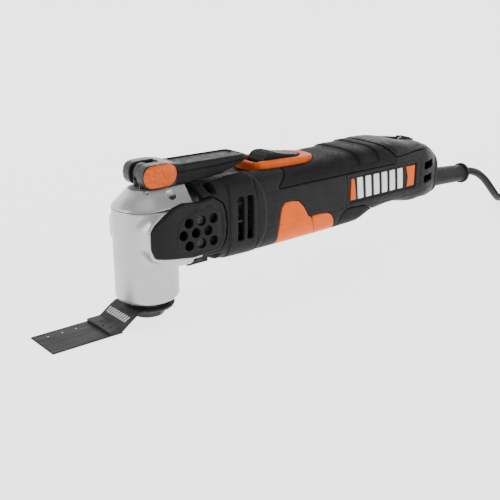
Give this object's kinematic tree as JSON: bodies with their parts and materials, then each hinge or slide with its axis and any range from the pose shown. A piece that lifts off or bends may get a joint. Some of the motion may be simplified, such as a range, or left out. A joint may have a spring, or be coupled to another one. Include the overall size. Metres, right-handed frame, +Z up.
{
  "type": "oscillating multi tool",
  "caption": "Corded oscillating multi tool: upright gear head with a plunge saw blade, in-line motor body with top release lever, slide switch and speed dial.",
  "frame": {"origin": "on the spindle axis, at the face of the tool flange where the blade's hub seats", "axes": "+X from the gear head to the mains lead, along the motor; +Z up the spindle axis, from the blade to the lever; +Y to the tool's left"},
  "size_m": [0.6045, 0.096, 0.1078],
  "materials": {
    "cast_grey": "satin silver-grey paint on a die casting",
    "shell_black": "fine matt texture",
    "guard_black": "satin",
    "grip_rubber": "matt overmould",
    "orange": "satin orange",
    "badge": "gloss label plate",
    "dial": "knurled",
    "steel": "machined",
    "dark_steel": "blackened steel",
    "blade_steel": "dark coated spring steel",
    "bearing": "ground",
    "iron": "laminated",
    "copper": "enamelled copper",
    "carbon": "carbon brush",
    "fan": "nylon",
    "brass": "stamped",
    "blue": "switch body",
    "circuit": "circuit board",
    "cable": "rubber sheath",
    "plug": "moulded plug",
    "pins": "nickel plated",
    "seal": "moulded"
  },
  "bodies": {
    "root": {"gear_housing": "cast_grey", "gear_housing_cap": "cast_grey", "cap_screws": "steel", "lever_bracket": "dark_steel", "chin_block": "shell_black", "side_guard_left": "guard_black", "side_guard_right": "guard_black", "side_guard_screws": "steel", "body_shell_left": "shell_black", "body_shell_right": "shell_black", "body_screws": "steel", "top_grip": "grip_rubber", "belly_grip": "grip_rubber", "saddle_front": "orange", "saddle_rear": "orange", "badge_left": "badge", "badge_right": "badge", "switch_surround": "orange", "dial_bezel": "shell_black", "tail_cap": "shell_black", "motor_bearing_front": "bearing", "motor_bearing_rear": "bearing", "motor_end_frame": "iron", "air_baffle": "shell_black", "stator_core": "iron", "field_coils": "copper", "brush_holders": "brass", "carbon_brushes": "carbon", "switch_module": "blue", "speed_circuit": "circuit", "spindle_bearing_lower": "bearing", "spindle_bearing_upper": "bearing", "spindle_seal": "seal", "cord_clamp": "iron", "cord_boot": "cable", "cord_lead": "cable", "cord_coil": "cable", "cord_end": "cable", "cord_tie": "seal", "plug_body": "plug", "plug_pins": "pins"},
    "spindle": {"output_spindle": "steel", "tool_flange": "dark_steel", "oscillating_fork": "iron", "disc_springs": "steel"},
    "tool": {"clamp_bolt": "dark_steel", "blade_shank": "blade_steel", "saw_blade": "blade_steel"},
    "lever": {"lever_yoke": "dark_steel", "lever_arm": "shell_black", "lever_caps": "orange", "lever_pin": "steel"},
    "plunger": {"push_rod": "steel"},
    "rotor": {"rotor_shaft": "steel", "armature": "copper", "commutator": "copper", "cooling_fan": "fan", "eccentric_bearing": "bearing"},
    "switch": {"switch_slider": "shell_black"},
    "dial": {"speed_dial": "dial"}
  },
  "joints": [
    {"name": "spindle_swing", "type": "hinge", "parent": "root", "child": "spindle", "pos_m": [0, 0, 0], "axis": [0, 0, 1], "range_deg": [-1.6, 1.6]},
    {"name": "tool_release", "type": "slide", "parent": "spindle", "child": "tool", "axis": [0, 0, -1], "range_m": [0, 0.085]},
    {"name": "lever_turn", "type": "hinge", "parent": "root", "child": "lever", "pos_m": [0, 0, 0.0888], "axis": [0, -1, 0], "range_deg": [0, 150]},
    {"name": "push_rod_stroke", "type": "slide", "parent": "root", "child": "plunger", "axis": [0, 0, -1], "range_m": [0, 0.00252]},
    {"name": "motor_spin", "type": "hinge", "parent": "root", "child": "rotor", "pos_m": [0.1, 0, 0.052], "axis": [1, 0, 0], "continuous": true},
    {"name": "switch_slide", "type": "slide", "parent": "root", "child": "switch", "axis": [-1, 0, 0], "range_m": [0, 0.005]},
    {"name": "dial_turn", "type": "hinge", "parent": "root", "child": "dial", "pos_m": [0.256, 0, 0.064], "axis": [0, 1, 0], "range_deg": [-135, 135]}
  ],
  "couplings": [
    {"joint": "push_rod_stroke", "follows": "lever_turn", "m_per_rad": 0.0009549}
  ]
}
